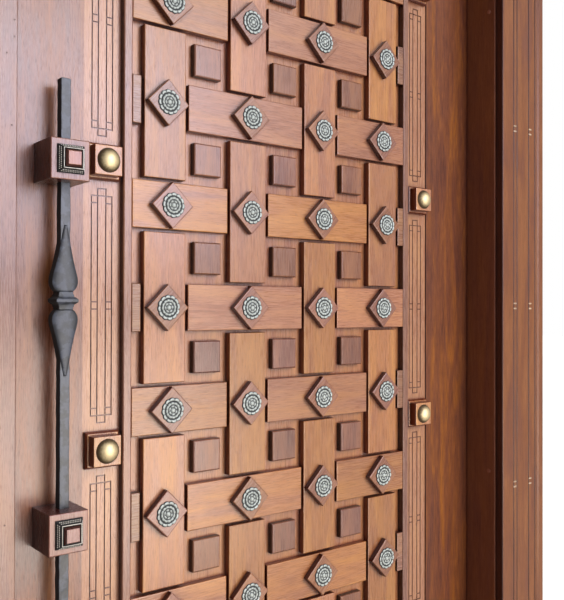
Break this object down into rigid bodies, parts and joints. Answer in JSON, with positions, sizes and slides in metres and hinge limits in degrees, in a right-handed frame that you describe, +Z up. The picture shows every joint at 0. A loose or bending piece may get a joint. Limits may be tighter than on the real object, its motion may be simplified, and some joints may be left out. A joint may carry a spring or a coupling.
{
  "type": "carved wooden door with frame",
  "caption": "Heavy wooden temple door with a basket-weave carved front, metal rosettes, a long pull bar and its moulded frame; the leaf swings inwards.",
  "frame": {"origin": "underside of the sill, halfway between the jambs, in the plane of the leaf's plain front boards", "axes": "+Z up, +Y into the building, +X from the lock side to the hinge side"},
  "size_m": [1.686, 0.1825, 2.617],
  "materials": {
    "frame_wood": "varnished",
    "post_wood": "varnished",
    "leaf_wood": "varnished",
    "pilaster_wood": "varnished",
    "bead_wood": "varnished",
    "board_wood": "varnished",
    "stud_wood": "varnished",
    "diamond_wood": "varnished",
    "rosette_metal": "worn and darkened",
    "dome_brass": "aged",
    "handle_iron": "hammered, dark",
    "ornament_metal": "antique, beaded",
    "hinge_steel": "plain"
  },
  "bodies": {
    "frame": {"sill": "frame_wood", "head_jamb": "frame_wood", "jamb_lock_side": "frame_wood", "jamb_hinge_side": "frame_wood", "lock_post": "post_wood", "casing_lock_side": "frame_wood", "casing_hinge_side": "frame_wood", "casing_head": "frame_wood", "hinge_jamb_halves": "hinge_steel"},
    "leaf": {"bead_bottom": "bead_wood", "bead_hinge_side": "bead_wood", "bead_lock_side": "bead_wood", "bead_top": "bead_wood", "block_bases_hinge_side": "pilaster_wood", "block_bases_lock_side": "pilaster_wood", "block_tops_hinge_side": "pilaster_wood", "block_tops_lock_side": "pilaster_wood", "bottom_rail": "leaf_wood", "brass_domes_hinge_side": "dome_brass", "brass_domes_lock_side": "dome_brass", "diamonds_1": "diamond_wood", "diamonds_2": "diamond_wood", "diamonds_3": "diamond_wood", "diamonds_4": "diamond_wood", "field_panel": "leaf_wood", "handle_bar": "handle_iron", "handle_bolts": "handle_iron", "handle_cube_lower": "pilaster_wood", "handle_cube_upper": "pilaster_wood", "handle_ornament_centres": "pilaster_wood", "handle_ornament_frames": "ornament_metal", "hinge_leaf_halves": "hinge_steel", "hinge_stile": "leaf_wood", "leaf_core": "leaf_wood", "lock_stile": "leaf_wood", "pilaster_hinge_side": "pilaster_wood", "pilaster_lock_side": "pilaster_wood", "rosettes_1": "rosette_metal", "rosettes_2": "rosette_metal", "rosettes_3": "rosette_metal", "rosettes_4": "rosette_metal", "square_studs_1": "stud_wood", "square_studs_2": "stud_wood", "square_studs_3": "stud_wood", "top_rail": "leaf_wood", "weave_board_ends": "board_wood", "weave_level_boards_1": "board_wood", "weave_level_boards_2": "board_wood", "weave_level_boards_3": "board_wood", "weave_level_boards_4": "board_wood", "weave_upright_boards_1": "board_wood", "weave_upright_boards_2": "board_wood", "weave_upright_boards_3": "board_wood", "weave_upright_boards_4": "board_wood"}
  },
  "joints": [
    {"name": "leaf_swing", "type": "hinge", "parent": "frame", "child": "leaf", "pos_m": [0.6745, 0.0585, 0], "axis": [0, 0, -1], "range_deg": [0, 110]}
  ]
}
